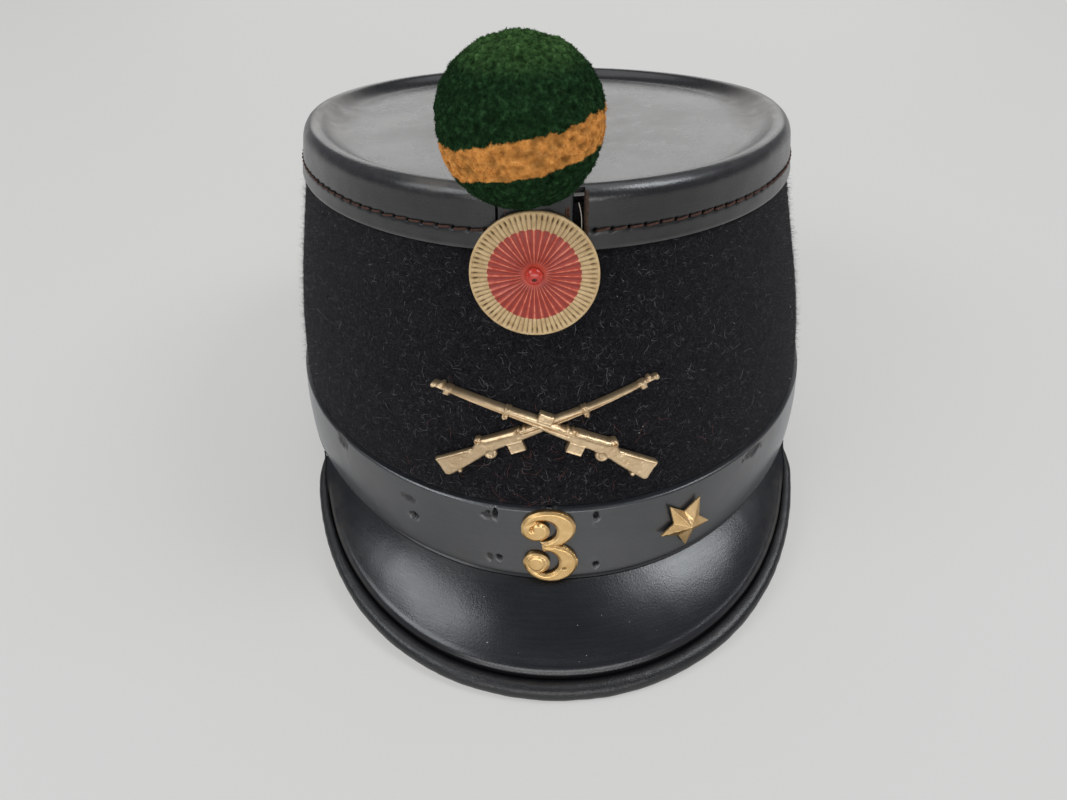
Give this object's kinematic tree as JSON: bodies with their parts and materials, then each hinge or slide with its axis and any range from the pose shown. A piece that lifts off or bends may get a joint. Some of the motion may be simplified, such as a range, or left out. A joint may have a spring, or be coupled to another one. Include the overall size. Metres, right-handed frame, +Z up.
{
  "type": "shako hat",
  "caption": "Peaked shako: tapered felt crown with leather top, band and beaded peak, wool pompom, fluted cockade, crossed-rifle, numeral and star badges.",
  "frame": {"origin": "on the surface the hat stands on, under the middle of the whole object's box", "axes": "+Z up, -Y to the front over the peak, +X to the right seen from the front; the hat is tipped back about 7 degrees as it rests on its peak"},
  "size_m": [0.1793, 0.23, 0.1616],
  "materials": {
    "felt": "black wool felt with a short raised nap",
    "leather": "black leather, satin, lightly worn",
    "peak_leather": "glossy black leather",
    "wool": "dense clipped green wool with an orange belt",
    "steel": "plain wire",
    "cockade_paint": "ivory and red paint on pressed metal, worn on the ridges",
    "rivet_paint": "glossy red paint",
    "gilt": "matt pale gilt casting",
    "brass": "satin brass, brighter on raised edges"
  },
  "bodies": {
    "root": {"crown_felt": "felt", "top_cap": "leather", "base_band": "leather", "peak": "peak_leather", "peak_bead": "peak_leather", "pompom_tab": "leather", "pompom": "wool", "pompom_stem": "steel", "cockade": "cockade_paint", "cockade_rivet": "rivet_paint", "rifles_badge": "gilt", "numeral_badge": "brass", "star_badge": "brass"}
  },
  "joints": []
}
